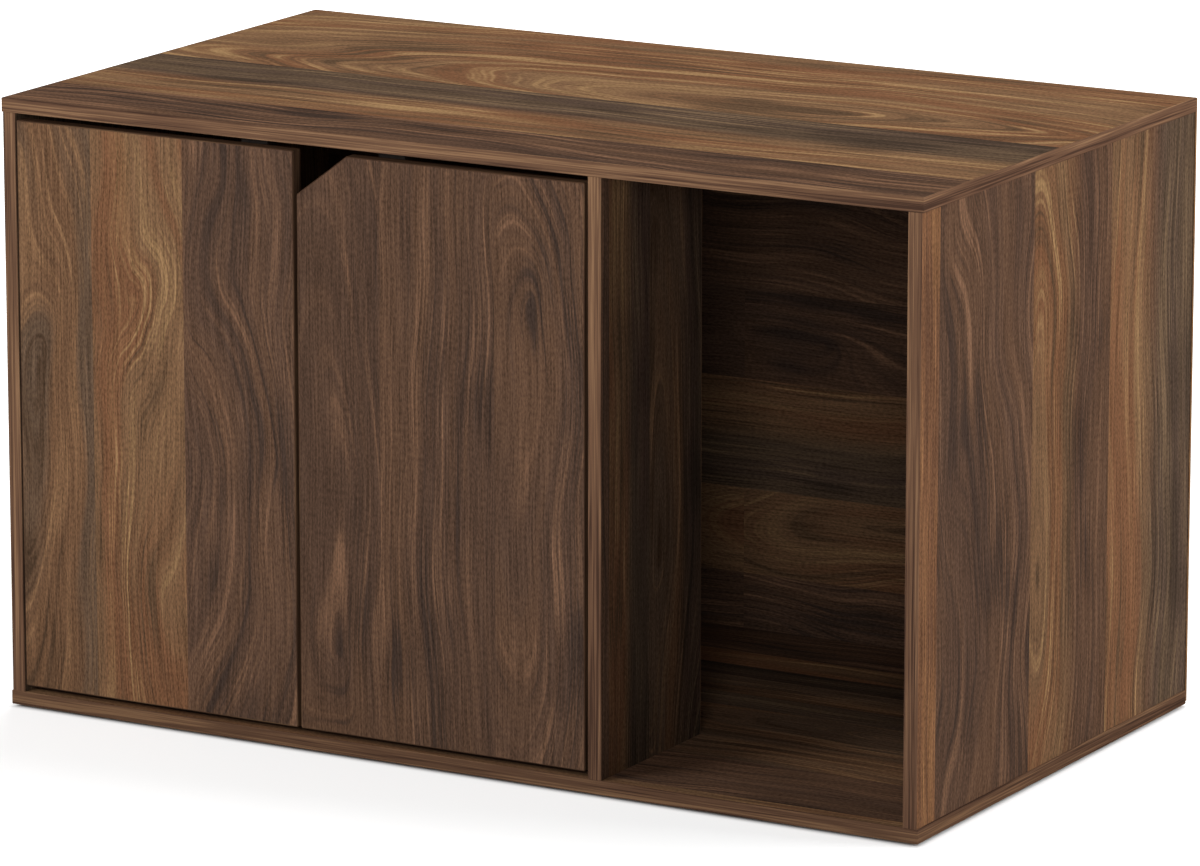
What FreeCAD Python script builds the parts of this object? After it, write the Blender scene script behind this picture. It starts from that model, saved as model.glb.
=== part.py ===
import FreeCAD, Part
import math
import os

from FreeCAD import Vector

# Cat litter box cabinet: a flat-packed case of laminated board with two inset doors in front
# of the litter compartment, an open bay on the right, and a short divider between them that
# leaves a passage behind it. Millimetres, +Z up, -Y towards the doors. The origin is the
# middle of the cabinet's footprint, at floor level.

# ---------------------------------------------------------------- driving dimensions

# Case
case_width = 900.0
case_height = 544.0
case_depth = 513.6              # front edges to rear edges of the boards, without the back
board = 12.7
side_inset = 1.3                # the top and the bottom overhang the side panels this much
bay_width = 286.9               # clear width of the open bay
divider_depth = 174.0

# Thin back
back_thickness = 3.0
back_side_setback = 0.5
back_top_setback = 0.5
back_bottom_setback = 2.3

# Edge bands
band = 1.0
edge_round = 0.8

# Doors
left_gap = 1.5                  # between the left door and the left side panel
middle_gap = 3.2                # between the two doors
right_gap = 2.9                 # between the right door and the divider
top_gap = 5.8
bottom_gap = 6.0
door_corner_round = 1.5
finger_cut_width = 50.0         # slanted finger pull in the right door's upper corner
finger_cut_height = 37.4

# Cam fittings
cam_radius = 6.0
cam_depth = 9.5
cam_setback = 24.0              # from the joint to the cam's centre
cam_recess_length = 7.0
cam_recess_width = 1.3
cam_recess_depth = 1.6
bolt_thread_radius = 3.0
bolt_thread_length = 9.0
bolt_shank_radius = 2.0
bolt_head_radius = 2.8
bolt_head_length = 4.0
bolt_bore_radius = 3.2
bolt_bore_clearance = 0.2
cam_edge_distance = 46.0        # from the front and rear edges of the board

# Dowels
dowel_radius = 3.0
dowel_in_flat = 9.0             # length held by the top or bottom panel
dowel_in_upright = 21.0         # length held by the upright panel
dowel_glue_space = 0.8
dowel_from_cam = 40.0

# Back nails
nail_radius = 0.7
nail_length = 16.0
nail_head_radius = 2.2
nail_head_height = 0.6
nail_spacing = 110.0
nail_end_distance = 30.0

# Floor glides
glide_height = 2.5
glide_radius = 10.0
glide_edge_distance = 26.0
glide_round = 0.7
glide_recess_radius = 3.4
glide_recess_depth = 1.0
glide_nail_head_radius = 3.0
glide_nail_head_height = 0.8
glide_nail_radius = 1.0
glide_nail_in_board = 9.0

# Concealed hinges, each with a single pivot inside its cup
hinge_end_distance = 80.0       # from the door's top and bottom edges
cup_radius = 13.0
cup_depth = 10.0
cup_wall = 0.6
cup_edge_distance = 3.0         # from the door's edge to the cup's bore
flange_rim = 2.0
flange_thickness = 0.8
ear_offset = 5.0                # the screw ears stand this much further from the door's edge
ear_spacing = 38.0
ear_half_width = 5.5
ear_end = 5.0
pivot_from_edge = 12.0          # from the door's edge to the pivot
eye_radius = 2.5
eye_clearance = 0.2             # under the eye, above the cup's floor
pin_radius = 1.25
pin_running_gap = 0.05
pin_half_length = 11.5
lug_half_width = 2.6
lug_from_centre = 8.0
neck_half_width = 7.5
arm_sheet = 1.6
arm_half_width = 9.0
sweep_clearance = 0.75          # between the turning door edge and the arm behind it
neck_clearance = 2.2            # between the open door's cup flange and the arm's neck

# Hinge mounting plates
plate_from_front = 50.0         # from the case's front to the plate's screws
rail_ahead = 18.0
rail_behind = 22.0
rail_half_width = 7.1
rail_height = 5.5
wing_half_length = 22.0
wing_half_width = 7.0
wing_thickness = 2.2
wing_screw_spacing = 32.0
wing_corner_round = 3.0
clamp_screw_behind = 14.0
adjusting_screw_ahead = 12.0
machine_screw_radius = 2.0
clamp_hole_clearance = 0.15
clamp_head_radius = 3.6
clamp_head_height = 2.2
screw_floor = 0.6               # between a machine screw's tip and the plate's base

# Wood screws
cup_screw_radius = 1.6
cup_screw_length = 10.0
plate_screw_radius = 1.75
plate_screw_length = 10.5
catch_screw_radius = 1.5
catch_screw_length = 11.0
strike_screw_radius = 1.5
strike_screw_length = 9.0
screw_head_ratio = 1.9          # head radius over shank radius
recess_ratio = 0.62             # half length of the cross recess over the head's radius
recess_slot = 0.8
recess_depth = 1.1

# Magnetic catches
catch_from_door_edge = 48.0     # left catch, from the left door's free edge
catch_from_finger_cut = 36.0    # right catch, from the inner end of the finger pull
catch_half_length = 23.0
catch_flange = 3.0
catch_screw_spacing = 37.0
housing_half_length = 13.0
housing_depth = 15.0
housing_height = 18.6
magnet_half_length = 10.0
magnet_height = 5.0
magnet_depth = 11.0
magnet_drop = 13.0              # from the top panel down to the magnet's middle
pole_thickness = 1.2
pole_projection = 1.0
strike_gap = 0.3
strike_thickness = 1.2
strike_half_length = 19.0
strike_half_height = 5.6
strike_corner_round = 2.0

touch = 0.001

# ---------------------------------------------------------------- derived places

whole_depth = case_depth + back_thickness + nail_head_height
front = -whole_depth / 2
rear = front + case_depth
left_end = -case_width / 2
right_end = case_width / 2
case_bottom = glide_height
case_top = case_bottom + case_height
inner_bottom = case_bottom + board
inner_top = case_top - board
left_face = left_end + side_inset + board
right_face = right_end - side_inset - board
divider_right = right_face - bay_width
divider_left = divider_right - board
divider_rear = front + divider_depth

door_width = (divider_left - left_face - left_gap - middle_gap - right_gap) / 2
door_bottom = inner_bottom + bottom_gap
door_top = inner_top - top_gap
left_door_left = left_face + left_gap
left_door_right = left_door_left + door_width
right_door_left = left_door_right + middle_gap
right_door_right = right_door_left + door_width
door_rear = front + board

pivot_depth = board - cup_depth + cup_wall + eye_radius + eye_clearance
edge_sweep = math.hypot(pivot_from_edge, board - pivot_depth)

parts = {}


# ---------------------------------------------------------------- shape helpers

def box(x0, x1, y0, y1, z0, z1):
    return Part.makeBox(x1 - x0, y1 - y0, z1 - z0, Vector(x0, y0, z0))


def rod(start, along, radius, length):
    return Part.makeCylinder(radius, length, Vector(*start), Vector(*along))


def upright_prism(points, y0, y1):
    corners = [Vector(x, y0, z) for x, z in points]
    return Part.Face(Part.makePolygon(corners + corners[:1])).extrude(Vector(0, y1 - y0, 0))


def flat_prism(points, z0, z1):
    corners = [Vector(x, y, z0) for x, y in points]
    return Part.Face(Part.makePolygon(corners + corners[:1])).extrude(Vector(0, 0, z1 - z0))


def edges_at(shape, axis, place):
    # edges that lie wholly in one plane across the named axis
    found = []
    for edge in shape.Edges:
        low = getattr(edge.BoundBox, axis + "Min")
        high = getattr(edge.BoundBox, axis + "Max")
        if abs(low - place) < touch and abs(high - place) < touch:
            found.append(edge)
    return found


def edges_along(shape, axis):
    # straight edges that run along the named axis
    found = []
    for edge in shape.Edges:
        spans = [edge.BoundBox.XLength, edge.BoundBox.YLength, edge.BoundBox.ZLength]
        length = spans.pop("XYZ".index(axis))
        if length > touch and max(spans) < touch:
            found.append(edge)
    return found


def without(edges, others):
    return [edge for edge in edges if not any(edge.isSame(other) for other in others)]


def cut_all(shape, cutters):
    if not cutters:
        return shape
    return shape.cut(cutters)


def fuse_all(shapes):
    return shapes[0].fuse(shapes[1:]).removeSplitter()


def group(solids):
    return Part.makeCompound(solids)


def meet(point_a, along_a, point_b, along_b):
    cross = along_a[0] * along_b[1] - along_a[1] * along_b[0]
    apart = (point_b[0] - point_a[0], point_b[1] - point_a[1])
    reach = (apart[0] * along_b[1] - apart[1] * along_b[0]) / cross
    return (point_a[0] + along_a[0] * reach, point_a[1] + along_a[1] * reach)


def inset(points, distances):
    # moves each side of a counter-clockwise outline inwards by its own distance
    lines = []
    for index, point in enumerate(points):
        after = points[(index + 1) % len(points)]
        along = (after[0] - point[0], after[1] - point[1])
        length = math.hypot(*along)
        shift = distances[index] / length
        lines.append(((point[0] - along[1] * shift, point[1] + along[0] * shift), along))
    return [meet(*lines[index - 1], *lines[index]) for index in range(len(points))]


def band_strips(whole, outer, distances, prism, low, high):
    # cuts the outer rim of a board into one mitred strip for each banded side
    inner = inset(outer, distances)
    strips = []
    for index, distance in enumerate(distances):
        if distance == 0:
            continue
        after = (index + 1) % len(outer)
        corners = [outer[index], outer[after], inner[after], inner[index]]
        strips.append(whole.common(prism(corners, low, high)))
    return inner, strips


def turned(shape, at, along):
    # a shape built along +Z from the origin, turned and moved to its place
    turn = FreeCAD.Rotation(Vector(0, 0, 1), Vector(*along))
    return shape.transformed(FreeCAD.Placement(Vector(*at), turn).toMatrix())


def cross_recess(half_length, slot, depth):
    one = box(-half_length, half_length, -slot / 2, slot / 2, -touch, depth)
    other = box(-slot / 2, slot / 2, -half_length, half_length, -touch, depth)
    return one.fuse(other)


def wood_screw(radius, length):
    # countersunk, its flat head at the origin, pointing along +Z
    head = radius * screw_head_ratio
    sink = head - radius
    tip = 2 * radius
    cone = Part.makeCone(head, radius, sink)
    shank = Part.makeCylinder(radius, length - sink - tip, Vector(0, 0, sink))
    point = Part.makeCone(radius, radius / 4, tip, Vector(0, 0, length - tip))
    body = fuse_all([cone, shank, point])
    return body.cut(cross_recess(head * recess_ratio, recess_slot, recess_depth))


def screw_hole(radius, length):
    head = radius * screw_head_ratio
    sink = head - radius
    tip = 2 * radius
    cone = Part.makeCone(head, radius, sink)
    shank = Part.makeCylinder(radius, length - sink - tip, Vector(0, 0, sink))
    point = Part.makeCone(radius, radius / 4, tip, Vector(0, 0, length - tip))
    return fuse_all([cone, shank, point])


# ---------------------------------------------------------------- cam fittings and dowels

top_panel_cuts = []
bottom_panel_cuts = []
left_side_cuts = []
right_side_cuts = []
divider_cuts = []


def cam_fitting(face, into, y, joint, away):
    # face: the upright panel's inner face; into: the way into its board along X
    # joint: height of the joint; away: the way from the joint along the upright panel
    axis = face + into * board / 2
    centre = joint + away * cam_setback
    up = (0, 0, away)
    thread_start = (axis, y, joint - away * bolt_thread_length)
    thread = rod(thread_start, up, bolt_thread_radius, bolt_thread_length)
    shank = rod((axis, y, joint), up, bolt_shank_radius, cam_setback)
    head_start = (axis, y, centre - away * bolt_head_length / 2)
    head = rod(head_start, up, bolt_head_radius, bolt_head_length)
    bolt = fuse_all([thread, shank, head])

    housing = rod((face, y, centre), (into, 0, 0), cam_radius, cam_depth)
    bolt_bore = rod((axis, y, joint), up, bolt_bore_radius, cam_setback)
    head_room = bolt_head_length / 2 + bolt_bore_clearance
    catch = rod((axis, y, joint), up, bolt_head_radius + bolt_bore_clearance, cam_setback + head_room)
    recess = turned(cross_recess(cam_recess_length / 2, cam_recess_width, cam_recess_depth),
                    (face, y, centre), (into, 0, 0))
    cam = housing.cut([catch, recess])
    return bolt, cam, thread, [housing, bolt_bore]


def dowel_at(axis, y, joint, away):
    length = dowel_in_flat + dowel_in_upright
    start = (axis, y, joint - away * dowel_in_flat)
    dowel = rod(start, (0, 0, away), dowel_radius, length)
    flat_hole = rod(start, (0, 0, away), dowel_radius, dowel_in_flat)
    deep = dowel_in_upright + dowel_glue_space
    upright_hole = rod((axis, y, joint), (0, 0, away), dowel_radius, deep)
    return dowel, flat_hole, upright_hole


def joint_rows():
    # every upright board with its inner face, its cutter list and its cam and dowel places
    side_cams = [front + cam_edge_distance, rear - cam_edge_distance]
    side_dowels = [side_cams[0] + dowel_from_cam, side_cams[1] - dowel_from_cam]
    divider_cams = [front + cam_edge_distance, divider_rear - cam_edge_distance]
    divider_dowels = [front + divider_depth / 2]
    return [
        (left_face, -1, left_side_cuts, side_cams, side_dowels),
        (right_face, 1, right_side_cuts, side_cams, side_dowels),
        (divider_left, 1, divider_cuts, divider_cams, divider_dowels),
    ]


def fit_joints(joint, away, flat_cuts, prefix):
    bolts = []
    cams = []
    dowels = []
    for face, into, upright_cuts, cam_places, dowel_places in joint_rows():
        for y in cam_places:
            bolt, cam, flat_hole, holes = cam_fitting(face, into, y, joint, away)
            bolts.append(bolt)
            cams.append(cam)
            flat_cuts.append(flat_hole)
            upright_cuts.extend(holes)
        for y in dowel_places:
            dowel, flat_hole, upright_hole = dowel_at(face + into * board / 2, y, joint, away)
            dowels.append(dowel)
            flat_cuts.append(flat_hole)
            upright_cuts.append(upright_hole)
    parts[prefix + "_cam_bolts"] = group(bolts)
    parts[prefix + "_cam_locks"] = group(cams)
    parts[prefix + "_dowels"] = group(dowels)


fit_joints(inner_top, -1, top_panel_cuts, "top")
fit_joints(inner_bottom, 1, bottom_panel_cuts, "bottom")


# ---------------------------------------------------------------- back panel and its nails

def even_places(low, high, spacing):
    count = max(1, round((high - low) / spacing))
    return [low + (high - low) * index / count for index in range(count + 1)]


def back_nail_places():
    left_line = left_end + side_inset + board / 2
    right_line = right_end - side_inset - board / 2
    low_line = case_bottom + board / 2
    high_line = case_top - board / 2
    places = []
    for x in even_places(left_end + nail_end_distance, right_end - nail_end_distance, nail_spacing):
        places.append((x, high_line, top_panel_cuts))
        places.append((x, low_line, bottom_panel_cuts))
    for z in even_places(inner_bottom + nail_end_distance, inner_top - nail_end_distance, nail_spacing):
        places.append((left_line, z, left_side_cuts))
        places.append((right_line, z, right_side_cuts))
    return places


def make_back():
    outer_face = rear + back_thickness
    panel = box(left_end + back_side_setback, right_end - back_side_setback, rear, outer_face,
                case_bottom + back_bottom_setback, case_top - back_top_setback)
    nails = []
    shafts = []
    for x, z, panel_cuts in back_nail_places():
        shaft = rod((x, outer_face, z), (0, -1, 0), nail_radius, nail_length)
        head = rod((x, outer_face, z), (0, 1, 0), nail_head_radius, nail_head_height)
        nails.append(fuse_all([shaft, head]))
        shafts.append(shaft)
        panel_cuts.append(shaft)
    parts["back_panel"] = panel.cut(shafts)
    parts["back_panel_nails"] = group(nails)


make_back()


# ---------------------------------------------------------------- floor glides

def make_glides():
    glides = []
    nails = []
    divider_middle = (divider_left + divider_right) / 2
    columns = [left_end + glide_edge_distance, divider_middle, right_end - glide_edge_distance]
    for x in columns:
        for y in (front + glide_edge_distance, rear - glide_edge_distance):
            disc = rod((x, y, 0), (0, 0, 1), glide_radius, glide_height)
            disc = disc.makeFillet(glide_round, edges_at(disc, "Z", 0))
            recess = rod((x, y, 0), (0, 0, 1), glide_recess_radius, glide_recess_depth)
            reach = glide_height - glide_recess_depth + glide_nail_in_board
            shaft = rod((x, y, glide_recess_depth), (0, 0, 1), glide_nail_radius, reach)
            head = rod((x, y, glide_recess_depth), (0, 0, -1), glide_nail_head_radius,
                       glide_nail_head_height)
            glides.append(disc.cut([recess, shaft]))
            nails.append(fuse_all([shaft, head]))
            bottom_panel_cuts.append(shaft)
    parts["floor_glides"] = group(glides)
    parts["glide_nails"] = group(nails)


make_glides()


# ---------------------------------------------------------------- hinges

def thick_path(points, thickness, half_width):
    # a bent strip that follows points in the X-Y plane, with round outer bends
    pieces = []
    for start, end in zip(points, points[1:]):
        along = (end[0] - start[0], end[1] - start[1])
        length = math.hypot(*along)
        strip = box(0, length, -thickness / 2, thickness / 2, -half_width, half_width)
        strip.rotate(Vector(0, 0, 0), Vector(0, 0, 1), math.degrees(math.atan2(along[1], along[0])))
        strip.translate(Vector(start[0], start[1], 0))
        pieces.append(strip)
    for point in points[1:-1]:
        pieces.append(rod((point[0], point[1], -half_width), (0, 0, 1), thickness / 2, 2 * half_width))
    return pieces


def hinge_cup(side_gap):
    middle = side_gap + cup_edge_distance + cup_radius
    ears = middle + ear_offset
    pivot = side_gap + pivot_from_edge
    floor = board - cup_depth
    flange_top = board + flange_thickness
    back = (0, 1, 0)
    shell = rod((middle, floor, 0), back, cup_radius, cup_depth)
    rim = rod((middle, board, 0), back, cup_radius + flange_rim, flange_thickness)
    ear_reach = ear_spacing / 2 + ear_end
    plate = box(ears - ear_half_width, ears + ear_half_width, board, flange_top, -ear_reach, ear_reach)
    plate = plate.makeFillet(ear_half_width * 0.9, edges_along(plate, "Y"))
    hollow_depth = cup_depth + flange_thickness - cup_wall
    hollow = rod((middle, floor + cup_wall, 0), back, cup_radius - cup_wall, hollow_depth)
    cup = fuse_all([shell, rim, plate]).cut(hollow)
    lugs = box(pivot - lug_half_width, pivot + lug_half_width, floor, pivot_depth + eye_radius,
               -cup_radius, cup_radius)
    lugs = lugs.cut(box(pivot - cup_radius, pivot + cup_radius, 0, board, -lug_from_centre, lug_from_centre))
    cup = fuse_all([cup, lugs.common(shell)])
    pin = rod((pivot, pivot_depth, -pin_half_length), (0, 0, 1), pin_radius, 2 * pin_half_length)
    screws = []
    holes = []
    for height in (-ear_spacing / 2, ear_spacing / 2):
        spot = (ears, flange_top, height)
        screws.append(turned(wood_screw(cup_screw_radius, cup_screw_length), spot, (0, -1, 0)))
        holes.append(turned(screw_hole(cup_screw_radius, cup_screw_length), spot, (0, -1, 0)))
    cup = cup.cut(holes + [pin])
    bore = rod((middle, floor, 0), back, cup_radius, cup_depth)
    return cup, pin, screws, [bore] + holes


def hinge_plate():
    ahead = plate_from_front - rail_ahead
    behind = plate_from_front + rail_behind
    rail = box(0, rail_height, ahead, behind, -rail_half_width, rail_half_width)
    wing = box(0, wing_thickness, plate_from_front - wing_half_width, plate_from_front + wing_half_width,
               -wing_half_length, wing_half_length)
    wing = wing.makeFillet(wing_corner_round, edges_along(wing, "X"))
    plate = fuse_all([rail, wing])
    screws = []
    holes = []
    for height in (-wing_screw_spacing / 2, wing_screw_spacing / 2):
        spot = (wing_thickness, plate_from_front, height)
        screws.append(turned(wood_screw(plate_screw_radius, plate_screw_length), spot, (-1, 0, 0)))
        holes.append(turned(screw_hole(plate_screw_radius, plate_screw_length), spot, (-1, 0, 0)))
    return plate.cut(holes), screws, holes


def hinge_arm(side_gap):
    pivot = side_gap + pivot_from_edge
    line = pivot_depth + edge_sweep + sweep_clearance + arm_sheet / 2
    reach = pivot + board + flange_thickness - pivot_depth + neck_clearance + arm_sheet / 2
    top_middle = rail_height + arm_sheet / 2
    behind = plate_from_front + rail_behind
    route = [(top_middle, line + arm_half_width), (top_middle, line), (reach, line),
             (reach, pivot_depth), (pivot, pivot_depth)]
    pieces = thick_path(route, arm_sheet, neck_half_width)
    pieces.append(rod((pivot, pivot_depth, -neck_half_width), (0, 0, 1), eye_radius, 2 * neck_half_width))
    channel_front = line + arm_sheet
    pieces.append(box(rail_height, rail_height + arm_sheet, channel_front, behind,
                      -arm_half_width, arm_half_width))
    for low, high in ((-arm_half_width, -arm_half_width + arm_sheet),
                      (arm_half_width - arm_sheet, arm_half_width)):
        pieces.append(box(wing_thickness + touch, rail_height + arm_sheet, channel_front, behind, low, high))
    arm = fuse_all(pieces)
    bore = rod((pivot, pivot_depth, -neck_half_width), (0, 0, 1), pin_radius + pin_running_gap,
               2 * neck_half_width)
    return arm.cut(bore)


def machine_screws():
    # the clamp screw has a head on the arm, the adjusting screw is a headless grub screw
    top = rail_height + arm_sheet
    clamp_y = plate_from_front + clamp_screw_behind
    grub_y = plate_from_front - adjusting_screw_ahead
    length = top - screw_floor
    shank = rod((top, clamp_y, 0), (-1, 0, 0), machine_screw_radius, length)
    head = rod((top, clamp_y, 0), (1, 0, 0), clamp_head_radius, clamp_head_height)
    recess = cross_recess(clamp_head_radius * recess_ratio, recess_slot, recess_depth)
    spot = (top + clamp_head_height, clamp_y, 0)
    clamp = fuse_all([shank, head]).cut(turned(recess, spot, (-1, 0, 0)))
    grub = rod((top, grub_y, 0), (-1, 0, 0), machine_screw_radius, length)
    small = cross_recess(machine_screw_radius * recess_ratio, recess_slot, recess_depth)
    grub_cut = turned(small, (top, grub_y, 0), (-1, 0, 0))
    hole = rod((top, clamp_y, 0), (-1, 0, 0), machine_screw_radius + clamp_hole_clearance, arm_sheet)
    return clamp, grub.cut(grub_cut), [shank, grub], [hole, grub]


def seated(shape, face, toward, height):
    # moves a piece built for a left-hand hinge at the origin to the panel that carries it
    if toward < 0:
        shape = shape.mirror(Vector(0, 0, 0), Vector(1, 0, 0))
    return shape.translated(Vector(face, front, height))


door_cuts = {"left": [], "right": []}
plate_screws = []
clamp_screws = []
adjusting_screws = []


def fit_hinges(side, face, toward, side_gap, panel_cuts):
    cup_screws = []
    heights = {"lower": door_bottom + hinge_end_distance, "upper": door_top - hinge_end_distance}
    for level, height in heights.items():
        def seat(shape):
            return seated(shape, face, toward, height)
        cup, pin, screws, door_holes = hinge_cup(side_gap)
        plate, wing_screws, panel_holes = hinge_plate()
        clamp, grub, plate_bores, arm_bores = machine_screws()
        name = side + "_" + level + "_hinge_"
        parts[name + "cup"] = seat(cup)
        parts[name + "pin"] = seat(pin)
        parts[name + "plate"] = seat(plate.cut(plate_bores))
        parts[name + "arm"] = seat(hinge_arm(side_gap).cut(arm_bores))
        cup_screws.extend(seat(screw) for screw in screws)
        plate_screws.extend(seat(screw) for screw in wing_screws)
        clamp_screws.append(seat(clamp))
        adjusting_screws.append(seat(grub))
        door_cuts[side].extend(seat(hole) for hole in door_holes)
        panel_cuts.extend(seat(hole) for hole in panel_holes)
    parts[side + "_cup_screws"] = group(cup_screws)


fit_hinges("left", left_face, 1, left_gap, left_side_cuts)
fit_hinges("right", divider_left, -1, right_gap, divider_cuts)
parts["hinge_plate_screws"] = group(plate_screws)
parts["hinge_clamp_screws"] = group(clamp_screws)
parts["hinge_adjusting_screws"] = group(adjusting_screws)


# ---------------------------------------------------------------- magnetic catches

catch_screws = []


def make_catch(side, x):
    strike_face = door_rear + strike_thickness
    pole_front = strike_face + strike_gap
    housing_front = pole_front + pole_projection
    housing_rear = housing_front + housing_depth
    flange = box(x - catch_half_length, x + catch_half_length, housing_front, housing_rear,
                 inner_top - catch_flange, inner_top)
    flange = flange.makeFillet(catch_flange, edges_along(flange, "Z"))
    housing = box(x - housing_half_length, x + housing_half_length, housing_front, housing_rear,
                  inner_top - housing_height, inner_top)
    middle = inner_top - magnet_drop
    magnet_low = middle - magnet_height / 2
    magnet_high = middle + magnet_height / 2
    left = x - magnet_half_length
    right = x + magnet_half_length
    magnet_rear = housing_front + magnet_depth
    magnet = box(left, right, housing_front, magnet_rear, magnet_low, magnet_high)
    lower_pole = box(left, right, pole_front, magnet_rear, magnet_low - pole_thickness, magnet_low)
    upper_pole = box(left, right, pole_front, magnet_rear, magnet_high, magnet_high + pole_thickness)
    pocket = box(left, right, housing_front, magnet_rear, magnet_low - pole_thickness,
                 magnet_high + pole_thickness)
    holes = []
    for place in (x - catch_screw_spacing / 2, x + catch_screw_spacing / 2):
        spot = (place, (housing_front + housing_rear) / 2, inner_top - catch_flange)
        catch_screws.append(turned(wood_screw(catch_screw_radius, catch_screw_length), spot, (0, 0, 1)))
        holes.append(turned(screw_hole(catch_screw_radius, catch_screw_length), spot, (0, 0, 1)))
    top_panel_cuts.extend(holes)
    parts[side + "_catch_housing"] = fuse_all([flange, housing]).cut(holes + [pocket])
    parts[side + "_catch_magnet"] = magnet
    parts[side + "_catch_poles"] = group([lower_pole, upper_pole])

    strike = box(x - strike_half_length, x + strike_half_length, door_rear, strike_face,
                 middle - strike_half_height, middle + strike_half_height)
    strike = strike.makeFillet(strike_corner_round, edges_along(strike, "Y"))
    spot = (x, strike_face, middle)
    hole = turned(screw_hole(strike_screw_radius, strike_screw_length), spot, (0, -1, 0))
    parts[side + "_strike_plate"] = strike.cut(hole)
    parts[side + "_strike_screw"] = turned(wood_screw(strike_screw_radius, strike_screw_length),
                                           spot, (0, -1, 0))
    door_cuts[side].append(hole)


make_catch("left", left_door_right - catch_from_door_edge)
make_catch("right", right_door_left + finger_cut_width + catch_from_finger_cut)
parts["catch_screws"] = group(catch_screws)


# ---------------------------------------------------------------- doors

def make_door(side, outline):
    whole = upright_prism(outline, front, door_rear)
    whole = whole.makeFillet(door_corner_round, edges_along(whole, "Y"))
    rims = edges_at(whole, "Y", front) + edges_at(whole, "Y", door_rear)
    whole = whole.makeFillet(edge_round, rims)
    bands = [band] * len(outline)
    inner, strips = band_strips(whole, outline, bands, upright_prism, front, door_rear)
    core = upright_prism(inner, front, door_rear)
    parts[side + "_door"] = cut_all(core, door_cuts[side])
    parts[side + "_door_edge_band"] = group(strips)


def door_outline(left, right):
    return [(left, door_bottom), (right, door_bottom), (right, door_top), (left, door_top)]


left_outline = door_outline(left_door_left, left_door_right)
right_outline = door_outline(right_door_left, right_door_right)
right_outline[3:] = [(right_door_left + finger_cut_width, door_top),
                     (right_door_left, door_top - finger_cut_height)]
make_door("left", left_outline)
make_door("right", right_outline)


# ---------------------------------------------------------------- case panels

def make_flat_panel(name, low, high, cuts):
    whole = box(left_end, right_end, front, rear, low, high)
    corners = [edge for edge in edges_along(whole, "Z") if edge.BoundBox.YMax < rear - touch]
    rims = edges_at(whole, "Z", low) + edges_at(whole, "Z", high)
    rims = without(rims, edges_at(whole, "Y", rear))
    whole = whole.makeFillet(edge_round, corners + rims)
    outline = [(left_end, front), (right_end, front), (right_end, rear), (left_end, rear)]
    inner, strips = band_strips(whole, outline, [band, band, 0, band], flat_prism, low, high)
    core = flat_prism(inner, low, high)
    parts[name + "_panel"] = cut_all(core, cuts)
    parts[name + "_edge_band"] = group(strips)


def make_upright_panel(name, band_name, x0, x1, y1, banded_rear, cuts):
    whole = box(x0, x1, front, y1, inner_bottom, inner_top)
    posts = edges_along(whole, "Z")
    if not banded_rear:
        posts = [edge for edge in posts if edge.BoundBox.YMax < y1 - touch]
    whole = whole.makeFillet(edge_round, posts)
    core_rear = y1 - band if banded_rear else y1
    core = box(x0, x1, front + band, core_rear, inner_bottom, inner_top)
    strips = whole.cut(core)
    parts[name] = cut_all(core, cuts)
    parts[band_name] = group(strips.Solids)


make_flat_panel("bottom", case_bottom, inner_bottom, bottom_panel_cuts)
make_flat_panel("top", inner_top, case_top, top_panel_cuts)
make_upright_panel("left_side_panel", "left_side_edge_band", left_face - board, left_face, rear,
                   False, left_side_cuts)
make_upright_panel("right_side_panel", "right_side_edge_band", right_face, right_face + board, rear,
                   False, right_side_cuts)
make_upright_panel("divider_panel", "divider_edge_bands", divider_left, divider_right, divider_rear,
                   True, divider_cuts)


# ---------------------------------------------------------------- output

os.makedirs("parts", exist_ok=True)
for name, shape in sorted(parts.items()):
    if not shape.isValid():
        print("not a valid shape:", name)
    shape.exportStep(os.path.join("parts", name + ".step"))
print(len(parts), "nodes,", sum(len(shape.Solids) for shape in parts.values()), "solids")
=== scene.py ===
import math

import bmesh
import bpy
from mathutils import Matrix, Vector

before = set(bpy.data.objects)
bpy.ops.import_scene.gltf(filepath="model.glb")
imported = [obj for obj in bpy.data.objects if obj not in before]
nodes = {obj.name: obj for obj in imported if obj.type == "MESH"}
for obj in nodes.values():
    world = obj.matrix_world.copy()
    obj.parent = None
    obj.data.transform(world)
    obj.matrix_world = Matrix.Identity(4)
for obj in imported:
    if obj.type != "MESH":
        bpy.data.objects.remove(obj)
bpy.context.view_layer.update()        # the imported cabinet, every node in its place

scene = bpy.context.scene
scene.view_settings.view_transform = "Standard"
for leftover in ("Cube", "Light", "Camera"):
    if leftover in bpy.data.objects:
        bpy.data.objects.remove(bpy.data.objects[leftover])


def tint(code):
    # a colour written as six hex digits, turned from sRGB into the linear values of the shader
    shades = [int(code[i:i + 2], 16) / 255 for i in (0, 2, 4)]
    return [s / 12.92 if s <= 0.04045 else ((s + 0.055) / 1.055) ** 2.4 for s in shades] + [1.0]


def dimmed(code, shade):
    return [c * shade for c in tint(code)]


def metres(millimetres):
    return millimetres / 1000


def feed(tree, socket, value):
    # a link where the value is a socket, else the socket's own setting
    if isinstance(value, bpy.types.NodeSocket):
        tree.links.new(value, socket)
    else:
        socket.default_value = value


def addNode(tree, kind, values=None, **settings):
    node = tree.nodes.new("ShaderNode" + kind)
    for key, value in settings.items():
        setattr(node, key, value)
    for key, value in (values or {}).items():
        feed(tree, node.inputs[key], value)
    return node


def calc(tree, operation, *values):
    return addNode(tree, "Math", dict(enumerate(values)), operation=operation).outputs[0]


def vecCalc(tree, operation, *values):
    return addNode(tree, "VectorMath", dict(enumerate(values)), operation=operation).outputs[0]


def mixFloat(tree, factor, a, b):
    return addNode(tree, "Mix", {0: factor, 2: a, 3: b}, data_type="FLOAT").outputs[0]


def mixVector(tree, factor, a, b):
    return addNode(tree, "Mix", {0: factor, 4: a, 5: b}, data_type="VECTOR").outputs[1]


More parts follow.
